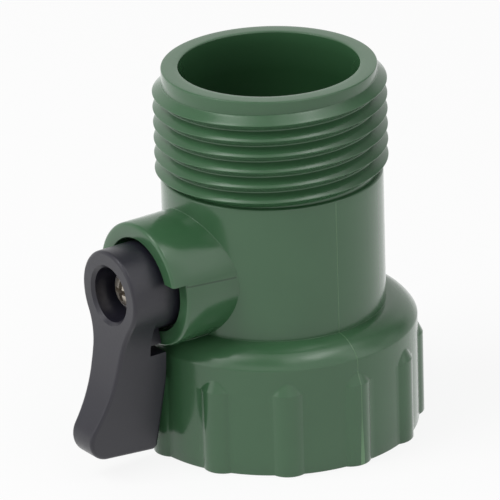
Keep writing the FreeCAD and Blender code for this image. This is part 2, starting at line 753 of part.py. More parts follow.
def make_screw():
    """The pan head tapping screw that holds the lever on the stem."""
    screw = new_body("lever_screw")
    profile = new_sketch(screw, "screw_form", "XZ_Plane")
    top = "(" + WEB_FRONT + " + screw_head_height)"
    tip = "(" + WEB_FRONT + " - screw_length)"
    dome = "(screw_head_height - screw_head_wall)"
    add_outline(profile, [
        ("0", tip),
        ("screw_tip_radius", tip),
        ("screw_shank_radius", tip + " + screw_point_length"),
        ("screw_shank_radius", WEB_FRONT),
        ("screw_head_radius", WEB_FRONT),
        ("screw_head_radius", WEB_FRONT + " + screw_head_wall",
         "((screw_head_radius^2 + " + dome + "^2) / (2 * " + dome + "))"),
        ("0", top),
    ])
    revolve(screw, "screw_turn", profile)
    recess = new_sketch(screw, "recess_form", "XY_Plane", lift=top)
    add_rectangle(recess, "0", "-recess_width / 2", "recess_span / 2", "recess_width / 2")
    arm = pocket(screw, "recess_arm", recess, "recess_depth")
    pattern_round(screw, "recess", arm, "Z_Axis", "4", grows=False)
    place_on_boss(screw)
    return screw


def make_rings():
    """The sealing rings: one behind each seat and two on the stem."""
    inner_edge = "(" + RING_MIDDLE + " - stem_ring_spacing / 2)"
    outer_edge = "(" + RING_MIDDLE + " + stem_ring_spacing / 2)"
    low = "(" + LEDGE + " + seat_ring_section)"
    high = "(" + RETAINER_BASE + " - seat_ring_section)"
    return [
        make_ring("lower_seat_o_ring", "seat_ring_radius", "seat_ring_section", low),
        make_ring("upper_seat_o_ring", "seat_ring_radius", "seat_ring_section", high),
        make_ring("stem_o_ring_inner", RING_CENTRE_RADIUS, "stem_ring_section", inner_edge, on_boss=True),
        make_ring("stem_o_ring_outer", RING_CENTRE_RADIUS, "stem_ring_section", outer_edge, on_boss=True),
    ]


pieces = [
    make_valve_body(),
    make_retainer(),
    make_seat("upper_seat", upper=True),
    make_seat("lower_seat", upper=False),
    make_hose_washer(),
    make_ball(),
    make_stem(),
    make_stem_washer(),
    make_lever(),
    make_screw(),
] + make_rings()
document.recompute()

for item in document.Objects:
    if "Invalid" in item.State or "Error" in item.State:
        raise RuntimeError(item.Label + " is in state " + str(item.State))
for piece in pieces:
    shape = piece.Shape
    if shape.isNull() or not shape.isValid() or len(shape.Solids) != 1:
        raise RuntimeError(piece.Label + " is not one valid solid")

os.makedirs("parts", exist_ok=True)
for piece in pieces:
    piece.Shape.exportStep("parts/" + piece.Label + ".step")
    print(piece.Label, round(piece.Shape.Volume, 3), "mm3")
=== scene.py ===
import json
import math

import bpy
import numpy as np
from mathutils import Matrix, Vector


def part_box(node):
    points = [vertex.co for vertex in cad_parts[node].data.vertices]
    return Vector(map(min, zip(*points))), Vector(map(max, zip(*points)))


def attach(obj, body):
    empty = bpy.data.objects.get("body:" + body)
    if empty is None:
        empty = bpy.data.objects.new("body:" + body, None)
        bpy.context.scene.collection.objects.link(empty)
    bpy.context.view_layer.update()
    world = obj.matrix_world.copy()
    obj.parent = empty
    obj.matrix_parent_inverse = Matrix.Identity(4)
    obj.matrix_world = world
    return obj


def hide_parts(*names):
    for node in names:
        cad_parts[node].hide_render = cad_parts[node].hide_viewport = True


# A garden shut-off valve: green moulded body, black quarter-turn lever and plated screw.
# The part's sizes are in millimetres and become metres in its mesh and its masks. The studio's
# are in metres. Angles are in degrees. The flow axis is +Z and the stem boss points along -Y.

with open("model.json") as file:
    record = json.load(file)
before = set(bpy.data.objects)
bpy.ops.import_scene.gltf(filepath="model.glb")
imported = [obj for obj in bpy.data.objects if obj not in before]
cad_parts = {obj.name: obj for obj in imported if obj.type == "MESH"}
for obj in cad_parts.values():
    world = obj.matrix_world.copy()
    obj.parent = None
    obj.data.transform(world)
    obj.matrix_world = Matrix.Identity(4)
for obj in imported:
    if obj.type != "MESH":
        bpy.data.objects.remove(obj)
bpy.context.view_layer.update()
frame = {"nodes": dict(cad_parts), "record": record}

MM = 0.001
CORE_SHARE = 0.001

# Body, outside
COLLAR_RADIUS = 16.0
COLLAR_WALL_TOP = 12.7
COLLAR_EDGE_DROP = 0.1
COLLAR_EDGE_ROUND = 0.5
COLLAR_EDGE_TURN = 24
FOOT_ROUND = 0.2
SHOULDER_RADIUS = 4.0
SHOULDER_CENTRE = (12.5, 10.8)
SHOULDER_FIRST_TURN = 31
TUBE_RADIUS = 12.5
TUBE_FOOT_ROUND = 0.03
TUBE_TOP = 30.6
TUBE_EDGE_ROUND = 0.25
TUBE_EDGE_TURN = 84
LEDGE_WIDTH = 0.2
LEDGE_RISE = 0.06
RIM_BASE = 41.65
RIM_RISE = 0.3
RIM_EDGE_ROUND = 0.14
BODY_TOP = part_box("valve_body")[1].z / MM
SHARP_ANGLE = 38.0

# Grip ribs
RIB_COUNT = 12
RIB_STEP = 360 / RIB_COUNT
RIB_TURN = -2.0
RIB_CENTRE = 14.33
RIB_RADIUS = 2.3
RIB_STRAIGHT = 9.8
RIB_END_SLOPE = 0.475
RIB_END_TOP = 11.4
RIB_BLEND = 0.015
RIB_ROW_GAP = 0.06
RIB_COLUMN_GAP = 0.06

# Male thread
THREAD_ROOT = 12.06
THREAD_CREST = 13.1
THREAD_CREST_ROUND = 0.06
THREAD_ROOT_ROUND = 0.1
THREAD_ROOT_FLAT = 0.02
THREAD_FOOT_INSET = 0.05
THREAD_FOOT_DEPTH = 0.5
THREAD_PITCH = 1.814
THREAD_FIRST_CREST = 31.01
THREAD_START = -165.0
THREAD_TURNS = 5.72
THREAD_FADE_IN = 24.0
THREAD_FADE_OUT = 18.0
THREAD_LIFT = 0.005
THREAD_END_SINK = 0.1
THREAD_COLUMNS = 108
THREAD_STRIDE = 9
THREAD_WALL = THREAD_ROOT - 0.03

# Inside of the body
BORE_RADIUS = 10.14
BORE_EDGE_ROUND = 0.12
CAVITY_RADIUS = 9.95
CAVITY_TOP = 33.756
CAVITY_FLOOR = 12.984
PORT_RADIUS = 5.8
WASHER_SEAT = 9.4
WASHER_RADIUS = 12.9
INLET_THREAD_TOP = 6.8
INLET_RADIUS = 13.32
INLET_CREST = 12.25
INLET_FLANK = 27.5
INLET_APEX_RISE = 0.41
INLET_ROUND = 0.249
INLET_FADE = 0.9
INLET_BEVEL = 0.3

# Stem boss, and the cut-away of its end for the lever's stop
BOSS_HEIGHT = 21.27
BOSS_RADIUS = 7.32
BOSS_REACH = 18.75
BOSS_BLEND = 0.07
BOSS_EDGE_ROUND = 0.4
BOSS_POCKET_RADIUS = 5.6
BOSS_POCKET_ROUND = 0.12
BOSS_FLOOR_REACH = 14.8
BOSS_HOLE_RADIUS = 2.9
BOSS_ROOT_RADIUS = 11.4
BOSS_ROOT_SHARE = 0.96
BOSS_COLUMN_TURN = 4.0
BOSS_STEP_REACH = 17.0
STEP_LIFT = 1.97
STEP_LOW = -106.6
STEP_HIGH = math.degrees(math.asin(STEP_LIFT / BOSS_RADIUS))
STEP_COLUMNS = (-0.35, -0.05, 0.05, 0.35)
STEP_CLEAR = 0.8
STEP_LEVEL_TURN = 24

# Mould line: its flash above the ribs, and the pale tint that carries it down to the foot
SEAM_TURN = -1.8
FLASH_HALF_WIDTH = 0.07
FLASH_END_WIDTH = 0.001
FLASH_HEIGHT = 0.035
FLASH_DEPTH = 0.08
FLASH_LOW_END = 11.3
SEAM_HALF_WIDTH = 0.07
SEAM_STRENGTH = 0.25
SEAM_FOOT = (6.0, 1.0)
SEAM_FOOT_WIDTH = 0.18
SEAM_FOOT_STRENGTH = 0.55
SEAM_TOP = 30.4
SEAM_INNER_EDGE = 11.9
SEAM_TINT = (0.17, 0.34, 0.17)

# Painted shade: a dark shadow line that runs back along the boss from the cut-away's upper end
BOSS_LINE_DROP = 0.25
BOSS_LINE_FALL = 0.08
BOSS_LINE_HALF_WIDTH = 0.09
BOSS_LINE_BACK = -10.4
BOSS_LINE_FRONT = -16.9
BOSS_LINE_SIDE = 6.6
BOSS_LINE_STRENGTH = 0.6
BOSS_SHADE_TINT = (0.012, 0.035, 0.015)

# Other tints. Painted shade: the bore's wall, darker below the rim
BORE_SHADE_RADIUS = 10.2
BORE_SHADE = (43.2, 38.5)
BORE_SHADE_TINT = (0.024, 0.078, 0.030)
# Painted highlight: a bright band on the screw head's rim
SCREW_RIM = (1.60, 1.72)
SCREW_RIM_HIGHLIGHT = (0.95, 0.93, 0.90)

# Finishes by material slot: darker tone, lighter tone, roughness, scale of the slow mottle, scale
# of the fine one, depth of the grain
FINISHES = {
    "green_plastic": ((0.046, 0.127, 0.057), (0.050, 0.135, 0.061), 0.17, 180.0, 2600.0, 0.03),
    "lever_plastic": ((0.0125, 0.012, 0.019), (0.0155, 0.015, 0.023), 0.36, 260.0, 3200.0, 0.08),
    "screw_plating": ((0.36, 0.32, 0.27), (0.46, 0.42, 0.36), 0.3, 900.0, 5000.0, 0.04),
    "inner_plastic": ((0.012, 0.013, 0.013), (0.017, 0.018, 0.018), 0.5, 300.0, 2400.0, 0.06),
    "seat_plastic": ((0.66, 0.66, 0.62), (0.74, 0.74, 0.70), 0.45, 300.0, 2400.0, 0.06),
    "seal_rubber": ((0.006, 0.006, 0.006), (0.011, 0.011, 0.011), 0.6, 300.0, 2400.0, 0.06),
    "ball_plastic": ((0.60, 0.60, 0.56), (0.68, 0.68, 0.64), 0.2, 300.0, 2400.0, 0.06),
}
MOTTLE_RANGE = (0.3, 0.7)
ROUGHNESS_SPREAD = 0.04
GRAIN_DISTANCE = 0.1
SLOW_DETAIL = 2.0
FINE_DETAIL = 3.0
GREEN_IOR = 1.5
PLATING_METALLIC = 0.7

# Camera
CAMERA_AZIMUTH = -35.5
CAMERA_ELEVATION = 22.68
CAMERA_DISTANCE = 0.605
CAMERA_ROLL = 1.71
CAMERA_CLIP = (0.01, 10.0)
SENSOR_WIDTH = 36.0
FOCAL_PIXELS = 5370.0
FRAME_PIXELS = 500
TARGET = Vector((0, 0, 0.021))
TARGET_PIXEL = (274.2, 246.9)

# Floor
FLOOR_HALF = 0.6
FLOOR_DROP = 0.00002
FLOOR_TONE = 0.95
FLOOR_ROUGHNESS = 0.9
FLOOR_GLOW_SHARE = 0.88
FLOOR_GLOW_IN_GLOSS = 0.22

# Light
WHITE = (1, 1, 1, 1)
SKY_STRENGTH = 0.44
WALLS = 0.95
# Soft boxes: name, azimuth from the camera's, elevation, distance, size, radiance
LAMPS = (
    ("box_left", -70, 52, 0.55, (0.30, 0.28), 5.7),
    ("box_right", 50, 62, 0.55, (0.30, 0.18), 1.5),
)
# What stands round the valve in its glosses, from the back of the pile to its front: name,
# radiance, azimuth from the camera's, half width, lowest and highest elevation, width of the soft
# edge
CARDS = (
    ("ceiling", 0.6, 16, 167, 31, 120, 12),
    ("overhead", 1.0, 46, 125, 73, 120, 20),
    ("ceiling_left", 1.0, -93, 59, 58, 120, 6),
    ("front_wall", 1.35, 5, 53, -8, 50, 13),
    ("left_wall", 1.85, -68, 19, -12, 78, 12),
    ("left_box", 5.2, -80, 14, 48, 68, 20),
    ("right_box_edge", 2.1, 61, 52, 54, 82, 24),
    ("right_box", 4.9, 64, 23, 60, 72, 12),
    ("right_wall", 1.85, 76, 14, 11, 61, 24),
    ("right_dark_card", 0.35, 128, 10, 12, 53, 16),
    ("back_wall", 0.45, 174, 40, 40, 80, 12),
    ("left_dark_card", 0.25, -154, 18, 40, 72, 12),
    ("front_grey_card", 0.8, -19, 25, 3, 25, 22),
)


# Curves and meshes

def smooth_max(first, second, blend):
    """The larger of two arrays, rounded where they cross: the larger one plus h^2 / 4k, where k is
    the blend and h is what their difference leaves of it, or 0."""
    near = np.maximum(blend - np.abs(first - second), 0)
    return np.maximum(first, second) + near * near / (4 * blend)


def smooth_step(share):
    """The curve 3t^2 - 2t^3 of a share that is kept between 0 and 1."""
    t = np.clip(share, 0, 1)
    return t * t * (3 - 2 * t)


def line(start, end, count):
    """Points from start towards end, equally spaced, without the end itself."""
    share = np.arange(count)[:, None] / count
    return np.array(start) + share * (np.array(end) - np.array(start))


def arc(centre, radius, first, last, count):
    """Points on a circle from one angle towards another, without the last one."""
    angle = np.radians(first + (last - first) * np.arange(count) / count)
    return np.stack([centre[0] + radius * np.cos(angle), centre[1] + radius * np.sin(angle)], -1)


def weave(points):
    """Corners and four-sided faces of a grid of points that closes on itself both ways.
    The faces are turned over if the volume they enclose comes out negative."""
    rows, columns = points.shape[:2]
    corner = np.arange(rows * columns).reshape(rows, columns)
    right = np.roll(corner, -1, 1)
    faces = [corner, right, np.roll(right, -1, 0), np.roll(corner, -1, 0)]
    faces = np.stack(faces, -1).reshape(-1, 4)
    flat = points.reshape(-1, 3)
    a, b, c, d = (flat[faces[:, i]] for i in range(4))
    volume = np.einsum("ij,ij->", np.cross(b, c), a) + np.einsum("ij,ij->", np.cross(c, d), a)
    if volume < 0:
        faces = faces[:, ::-1]
    return flat, faces


def close_ends(points, stride):
    """A tube of rings made a closed shell: it runs back along its middle, a stride at a time, as
    rings of CORE_SHARE of the size."""
    middle = points.mean(1, keepdims=True)
    inside = middle + CORE_SHARE * (points - middle)
    return weave(np.concatenate([points, inside[::-stride], inside[:1]]))


def put_in_scene(name, data):
    """A new object of the scene."""
    made = bpy.data.objects.new(name, data)
    bpy.context.scene.collection.objects.link(made)
    return made


def make_piece(name, patches, body, material):
    """One mesh of several woven patches, in metres, riding on a body of the frame."""
    corners, faces, count = [], [], 0
    for flat, quads in patches:
        corners.append(flat * MM)
        faces.append(quads + count)
        count += len(flat)
    corners, faces = np.vstack(corners), np.vstack(faces)
    mesh = bpy.data.meshes.new(name)
    mesh.vertices.add(len(corners))
    mesh.vertices.foreach_set("co", corners.astype(np.float32).ravel())
    mesh.loops.add(faces.size)
    mesh.loops.foreach_set("vertex_index", faces.astype(np.int32).ravel())
    mesh.polygons.add(len(faces))
    mesh.polygons.foreach_set("loop_start", np.arange(0, faces.size, 4, dtype=np.int32))
    mesh.polygons.foreach_set("use_smooth", np.ones(len(faces), bool))
    mesh.update(calc_edges=True)
    mesh.validate()
    mesh.set_sharp_from_angle(angle=math.radians(SHARP_ANGLE))
    piece = put_in_scene(name, mesh)
    piece.data.materials.append(material)
    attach(piece, body)
    return piece


# Body

def body_turns():
    """The angles of the body's columns: close together across each rib, a close pair at each corner
    where its straight part leaves the wall, and wider between ribs."""
    corner = COLLAR_RADIUS ** 2 + RIB_CENTRE ** 2 - RIB_RADIUS ** 2
    half = math.degrees(math.acos(corner / (2 * COLLAR_RADIUS * RIB_CENTRE)))
    gap = RIB_COLUMN_GAP
    across = np.linspace(-half + gap, half - gap, 20)
    between = np.linspace(half + gap, RIB_STEP - half - gap, 8)
    one = np.concatenate([across, between])
    return np.concatenate([RIB_TURN + one + RIB_STEP * number for number in range(RIB_COUNT)])


def rib_rise(turn, height):
    """How far a rib stands out of the collar's wall: an upright post of radius RIB_RADIUS on the
    circle RIB_CENTRE with a cone as its upper end, joined to the wall by a smooth maximum."""
    off = np.radians((turn - RIB_TURN + RIB_STEP / 2) % RIB_STEP - RIB_STEP / 2)
    across = RIB_CENTRE * np.sin(off)
    post = RIB_RADIUS - RIB_END_SLOPE * np.maximum(height - RIB_STRAIGHT, 0)
    bulge = np.sqrt(np.maximum(post ** 2 - across ** 2, 0))
    return smooth_max(COLLAR_RADIUS, RIB_CENTRE * np.cos(off) + bulge, RIB_BLEND) - COLLAR_RADIUS


def thread_section():
    """The male thread's section over one pitch as (distance along the axis, height over the root):
    a crest circle and a root circle on each side, joined by the straight line that touches both,
    half of the narrow flat between turns, and two corners sunk in the wall."""
    crest, root = THREAD_CREST_ROUND, THREAD_ROOT_ROUND
    depth = THREAD_CREST - THREAD_ROOT
    half_pitch = THREAD_PITCH / 2
    run, fall = half_pitch - THREAD_ROOT_FLAT, depth - crest - root
    flank = math.atan2(run, fall) - math.asin((crest + root) / math.hypot(run, fall))
    lean = math.degrees(flank)
    low = arc((run, root), root, 180 + lean, 270, 5)
    flank_top = (crest * math.cos(flank), depth - crest + crest * math.sin(flank))
    half = np.vstack([arc((0, depth - crest), crest, 90, lean, 4), line(flank_top, low[0], 4),
                      low, [[run, 0.0], [half_pitch, 0.0]]])
    sunk = np.array([[half_pitch - THREAD_FOOT_INSET, -THREAD_FOOT_DEPTH]])
    mirror = np.array([-1, 1])
    return np.vstack([half, sunk, sunk * mirror, half[:0:-1] * mirror])


def thread_patch():
    """The male thread: its section carried along a helix that climbs THREAD_PITCH a turn from
    THREAD_START. It rises from the tube over THREAD_FADE_IN degrees and sinks back over
    THREAD_FADE_OUT."""
    section = thread_section()
    along = np.linspace(0, THREAD_TURNS, int(THREAD_TURNS * THREAD_COLUMNS) + 1)[:, None]
    ends = smooth_step(along * 360 / THREAD_FADE_IN)
    ends = ends * smooth_step((THREAD_TURNS - along) * 360 / THREAD_FADE_OUT)
    wide = THREAD_ROOT + THREAD_LIFT + section[None, :, 1] * ends - THREAD_END_SINK * (1 - ends)
    tall = THREAD_FIRST_CREST + THREAD_PITCH * along + section[None, :, 0]
    turn = np.radians(THREAD_START + 360 * along)
    points = np.stack([wide * np.cos(turn), wide * np.sin(turn), tall], -1)
    return close_ends(points, THREAD_STRIDE)


def inlet_profile(off, apex, crest):
    """Height of a V thread at a distance from its crest's line: straight flanks, and circles that
    touch both flanks at the crest and the root."""
    flank = math.radians(INLET_FLANK)
    off = np.abs(off)
    crest_round = (apex - crest) / (1 / math.sin(flank) - 1)
    to_root = THREAD_PITCH / 2 - off
    dome = crest - crest_round + np.sqrt(np.maximum(crest_round ** 2 - off ** 2, 0))
    valley = INLET_ROUND - np.sqrt(np.maximum(INLET_ROUND ** 2 - to_root ** 2, 0))
    on_crest = off < crest_round * math.cos(flank)
    on_root = to_root < INLET_ROUND * math.cos(flank)
    return np.where(on_crest, dome, np.where(on_root, valley, apex - off / math.tan(flank)))


def inlet_radius(turn, height):
    """Radius of the inlet's female thread: V ridges that stand inwards along a helix, faded at both
    ends."""
    climbed = (height - THREAD_PITCH / 2) / THREAD_PITCH - turn / 360
    off = (climbed - np.round(climbed)) * THREAD_PITCH
    depth = INLET_RADIUS - INLET_CREST
    profile = inlet_profile(off, depth + INLET_APEX_RISE, depth)
    low, high = height / INLET_FADE, (INLET_THREAD_TOP - height) / INLET_FADE
    return INLET_RADIUS - np.clip(profile, 0, depth) * (smooth_step(low) * smooth_step(high))


def body_section():
    """The body's section as a closed loop of (radius, height), with two shares for each point: how
    much it follows the ribs and the inlet's thread."""
    plain, ribs, female = (0, 0), (1, 0), (0, 1)
    foot_wall = COLLAR_RADIUS - FOOT_ROUND
    rib_low, rib_high = RIB_STRAIGHT - RIB_ROW_GAP, RIB_STRAIGHT + RIB_ROW_GAP
    wall_end = COLLAR_WALL_TOP - COLLAR_EDGE_DROP
    to_foot = SHOULDER_RADIUS + TUBE_FOOT_ROUND
    foot_turn = math.degrees(math.acos(TUBE_FOOT_ROUND / to_foot))
    foot_height = SHOULDER_CENTRE[1] + math.sqrt(to_foot ** 2 - TUBE_FOOT_ROUND ** 2)
    edge, rim, mouth = TUBE_EDGE_ROUND, RIM_EDGE_ROUND, BORE_EDGE_ROUND
    rim_wall, rim_start = THREAD_ROOT - rim, RIM_BASE + RIM_RISE
    ledge = TUBE_TOP + LEDGE_RISE
    bevel_out = INLET_RADIUS + INLET_BEVEL
    pieces = [
        (arc((foot_wall, FOOT_ROUND), FOOT_ROUND, -90, 0, 4), ribs),
        (line((COLLAR_RADIUS, FOOT_ROUND), (COLLAR_RADIUS, rib_low), 6), ribs),
        (line((COLLAR_RADIUS, rib_low), (COLLAR_RADIUS, rib_high), 3), ribs),
        (line((COLLAR_RADIUS, rib_high), (COLLAR_RADIUS, RIB_END_TOP), 20), ribs),
        (line((COLLAR_RADIUS, RIB_END_TOP), (COLLAR_RADIUS, wall_end), 2), ribs),
        (arc((COLLAR_RADIUS - COLLAR_EDGE_ROUND, wall_end), COLLAR_EDGE_ROUND,
             0, COLLAR_EDGE_TURN, 4), plain),
        (arc(SHOULDER_CENTRE, SHOULDER_RADIUS, SHOULDER_FIRST_TURN, foot_turn, 14), plain),
        (arc((TUBE_RADIUS + TUBE_FOOT_ROUND, foot_height), TUBE_FOOT_ROUND,
             180 + foot_turn, 180, 8), plain),
        (line((TUBE_RADIUS, foot_height), (TUBE_RADIUS, TUBE_TOP - edge), 12), plain),
        (arc((TUBE_RADIUS - edge, TUBE_TOP - edge), edge, 0, TUBE_EDGE_TURN, 5), plain),
        (line((THREAD_ROOT + LEDGE_WIDTH, TUBE_TOP), (THREAD_WALL, ledge), 2), plain),
        (line((THREAD_WALL, ledge), (THREAD_WALL, RIM_BASE), 12), plain),
        (line((THREAD_WALL, RIM_BASE), (THREAD_ROOT, rim_start), 2), plain),
        (line((THREAD_ROOT, rim_start), (THREAD_ROOT, BODY_TOP - rim), 3), plain),
        (arc((rim_wall, BODY_TOP - rim), rim, 0, 90, 5), plain),
        (line((rim_wall, BODY_TOP), (BORE_RADIUS + mouth, BODY_TOP), 3), plain),
        (arc((BORE_RADIUS + mouth, BODY_TOP - mouth), mouth, 90, 180, 3), plain),
        (line((BORE_RADIUS, BODY_TOP - mouth), (BORE_RADIUS, CAVITY_TOP), 6), plain),
        (line((CAVITY_RADIUS, CAVITY_TOP), (CAVITY_RADIUS, CAVITY_FLOOR), 4), plain),
        (line((CAVITY_RADIUS, CAVITY_FLOOR), (PORT_RADIUS, CAVITY_FLOOR), 2), plain),
        (line((PORT_RADIUS, CAVITY_FLOOR), (PORT_RADIUS, WASHER_SEAT), 2), plain),
        (line((PORT_RADIUS, WASHER_SEAT), (WASHER_RADIUS, WASHER_SEAT), 3), plain),
        (line((WASHER_RADIUS, WASHER_SEAT), (WASHER_RADIUS, INLET_THREAD_TOP), 2), plain),
        (line((WASHER_RADIUS, INLET_THREAD_TOP), (INLET_RADIUS, INLET_THREAD_TOP), 1), plain),
        (line((INLET_RADIUS, INLET_THREAD_TOP), (INLET_RADIUS, INLET_BEVEL), 42), female),
        (line((INLET_RADIUS, INLET_BEVEL), (bevel_out, 0.0), 1), plain),
        (line((bevel_out, 0.0), (foot_wall, 0.0), 3), plain),
    ]
    outline = np.vstack([points for points, follows in pieces])
    shares = np.vstack([np.tile(follows, (len(points), 1)) for points, follows in pieces])
    return outline, shares


def body_radius(radius, height, shares, turn):
    """The section's radius at each angle, with the ribs added and the inlet's thread put in."""
    with_ribs = radius + shares[..., 0] * rib_rise(turn, height)
    return np.where(shares[..., 1] > 0, inlet_radius(turn, height), with_ribs)


def body_patch():
    """The body as its section carried round the flow axis."""
    outline, shares = body_section()
    turn = body_turns()[None, :]
    radius, height = outline[:, :1], outline[:, 1:]
    wide = body_radius(radius, height + 0 * turn, shares[:, None, :], turn)
    angle = np.radians(turn)
    return weave(np.stack([wide * np.cos(angle), wide * np.sin(angle), height + 0 * wide], -1))


def boss_turns():
    """The angles of the boss's columns, with close ones at each end of the cut-away."""
    plain = np.arange(-180, 180, BOSS_COLUMN_TURN)
    close = np.array([side + gap for side in (STEP_HIGH, STEP_LOW) for gap in STEP_COLUMNS])
    kept = plain[np.abs(plain[:, None] - close[None, :]).min(1) > STEP_CLEAR]
    return np.sort(np.concatenate([kept, close]))


def level_turn(turn, radius):
    """The boss's columns at a smaller radius: near the upper end of the cut-away they turn up, so
    that this end stays level at STEP_LIFT."""
    extra = np.arcsin(STEP_LIFT / radius) - math.radians(STEP_HIGH)
    return turn + extra * smooth_step(1 - np.abs(np.degrees(turn) - STEP_HIGH) / STEP_LEVEL_TURN)


def boss_foot(turn):
    """The boss's foot as rows of points, from the body to the boss: the path of a ball that rolls
    on the boss's cylinder and on the shoulder's ring or the tube's cylinder. Each row is the ball's
    centre plus its radius along a direction between those towards the two forms."""
    cosine, sine = np.cos(turn), np.sin(turn)
    centre_x = (BOSS_RADIUS + BOSS_BLEND) * cosine
    centre_z = (BOSS_RADIUS + BOSS_BLEND) * sine + BOSS_HEIGHT
    over = centre_z - SHOULDER_CENTRE[1]
    lift = np.sqrt(np.maximum((SHOULDER_RADIUS + BOSS_BLEND) ** 2 - over ** 2, 0))
    on_shoulder = lift > BOSS_BLEND
    reach = SHOULDER_CENTRE[0] + np.where(on_shoulder, lift, BOSS_BLEND)
    centre_y = -np.sqrt(reach ** 2 - centre_x ** 2)
    centre = np.stack([centre_x, centre_y, centre_z], -1)
    to_boss = np.stack([-cosine, 0 * cosine, -sine], -1)
    rise = np.where(on_shoulder, over / (SHOULDER_RADIUS + BOSS_BLEND), 0.0)
    level = np.sqrt(1 - rise ** 2)
    to_body = -np.stack([level * centre_x / reach, level * centre_y / reach, rise], -1)
    opening = np.arccos(np.clip((to_boss * to_body).sum(-1), -1, 1))[:, None]
    rows = []
    for share in np.linspace(0, 1, 7):
        mix = np.sin((1 - share) * opening) * to_body + np.sin(share * opening) * to_boss
        rows.append(centre + BOSS_BLEND * (mix / np.sin(opening)))
    return rows


def boss_patch():
    """The boss: for each angle about its axis, a closed section from its root in the body's wall
    over the foot, the side, the rounded end and the pocket to the stem's hole. The end steps down
    in the cut-away."""
    turn = np.radians(boss_turns())
    degrees = np.degrees(turn)
    cut = (degrees > STEP_LOW) & (degrees < STEP_HIGH)
    end = np.where(cut, BOSS_STEP_REACH, BOSS_REACH)

    def ring(radius, y):
        """Points of one radius about the boss's axis, at a reach that may change with the angle."""
        column = turn if radius < BOSS_POCKET_RADIUS else level_turn(turn, radius)
        z = BOSS_HEIGHT + radius * np.sin(column)
        return np.stack([radius * np.cos(column), y + 0 * turn, z], -1)

    def root(radius):
        """Points of one radius about the boss's axis, sunk in the body's wall."""
        return ring(radius, -np.sqrt(BOSS_ROOT_RADIUS ** 2 - (radius * np.cos(turn)) ** 2))

    outer, edge = BOSS_RADIUS, BOSS_EDGE_ROUND
    pocket, mouth = BOSS_POCKET_RADIUS, BOSS_POCKET_ROUND
    foot = boss_foot(turn)
    contact = foot[-1][:, 1]
    rows = [root(outer * BOSS_ROOT_SHARE)] + foot
    for share in (0.34, 0.67):
        rows.append(ring(outer, contact + share * (-end + edge - contact)))
    for angle in np.radians(np.linspace(0, 90, 5)):
        rows.append(ring(outer - edge + edge * np.cos(angle), -end + edge - edge * np.sin(angle)))
    for angle in np.radians(np.linspace(0, 90, 4)):
        radius = pocket + mouth - mouth * np.sin(angle)
        rows.append(ring(radius, -end + mouth - mouth * np.cos(angle)))
    rows.append(ring(pocket, -BOSS_FLOOR_REACH))
    rows.append(ring(BOSS_HOLE_RADIUS, -BOSS_FLOOR_REACH))
    rows.append(root(BOSS_HOLE_RADIUS))
    return weave(np.stack(rows))


def flash_patch(side):
    """The mould line above the ribs: a low ridge along the body's section at one angle. Its own
    section is half a circle stretched to FLASH_HEIGHT, over another one sunk to FLASH_DEPTH."""
    outline, shares = body_section()
    first = int(np.argmax(outline[:, 1] >= FLASH_LOW_END))
    top = int(np.argmax(outline[:, 1] >= TUBE_TOP - TUBE_EDGE_ROUND))
    outline, shares = outline[first:top], shares[first:top]
    height = outline[:, 1]
    radius = body_radius(outline[:, 0], height, shares, side + 0 * height)
    run = np.gradient(np.stack([radius, height], -1), axis=0)
    run /= np.linalg.norm(run, axis=1, keepdims=True)
    normal = np.stack([run[:, 1], -run[:, 0]], -1)
    stand = FLASH_HEIGHT + 0 * height
    half_width = FLASH_HALF_WIDTH + 0 * height
    stand[[0, -1]] = 0.0
    half_width[[0, -1]] = FLASH_END_WIDTH
    angle = np.radians(np.arange(0, 360, 45.0))
    across = half_width[:, None] * np.cos(angle)
    above, below = np.maximum(np.sin(angle), 0), np.minimum(np.sin(angle), 0)
    out = stand[:, None] * above + FLASH_DEPTH * below
    wide = radius[:, None] + normal[:, :1] * out
    tall = height[:, None] + normal[:, 1:] * out
    turn = math.radians(side)
    points = np.stack([wide * math.cos(turn) - across * math.sin(turn),
                       wide * math.sin(turn) + across * math.cos(turn), tall], -1)
    return close_ends(points, len(points))


# Nodes

def new_group(name, inputs=(), outputs=(), normals=()):
    """A node group with sockets for numbers, and for normals that it gives out."""
    group = bpy.data.node_groups.new(name, "ShaderNodeTree")
    sockets = [(one, "INPUT", "NodeSocketFloat") for one in inputs]
    sockets += [(one, "OUTPUT", "NodeSocketFloat") for one in outputs]
    sockets += [(one, "OUTPUT", "NodeSocketVector") for one in normals]
    for socket, way, kind in sockets:
        group.interface.new_socket(name=socket, in_out=way, socket_type=kind)
    return group


def math_node(tree, operation, *values):
    """A math node whose inputs are sockets or plain numbers."""
    node = tree.nodes.new("ShaderNodeMath")
    node.operation = operation
    for slot, value in zip(node.inputs, values):
        if isinstance(value, (int, float)):
            slot.default_value = value
        else:
            tree.links.new(value, slot)
    return node.outputs[0]


def product(tree, first, *others):
    """The product of several values."""
    for value in others:
        first = math_node(tree, "MULTIPLY", first, value)
    return first


def share_of(tree, value, low, high):
    """A node that rises evenly from 0 to 1 while a value goes from low to high."""
    node = tree.nodes.new("ShaderNodeMapRange")
    node.inputs["From Min"].default_value = low
    node.inputs["From Max"].default_value = high
    tree.links.new(value, node.inputs["Value"])
    return node.outputs["Result"]


def object_place(tree):
    """The X, Y and Z of a point in object coordinates, in metres."""
    place = tree.nodes.new("ShaderNodeTexCoord")
    axes = tree.nodes.new("ShaderNodeSeparateXYZ")
    tree.links.new(place.outputs["Object"], axes.inputs[0])
    return axes.outputs


def off_axis(tree, first, second):
    """The distance from an axis, by the two coordinates across it."""
    squares = [math_node(tree, "MULTIPLY", value, value) for value in (first, second)]
    return math_node(tree, "SQRT", math_node(tree, "ADD", *squares))


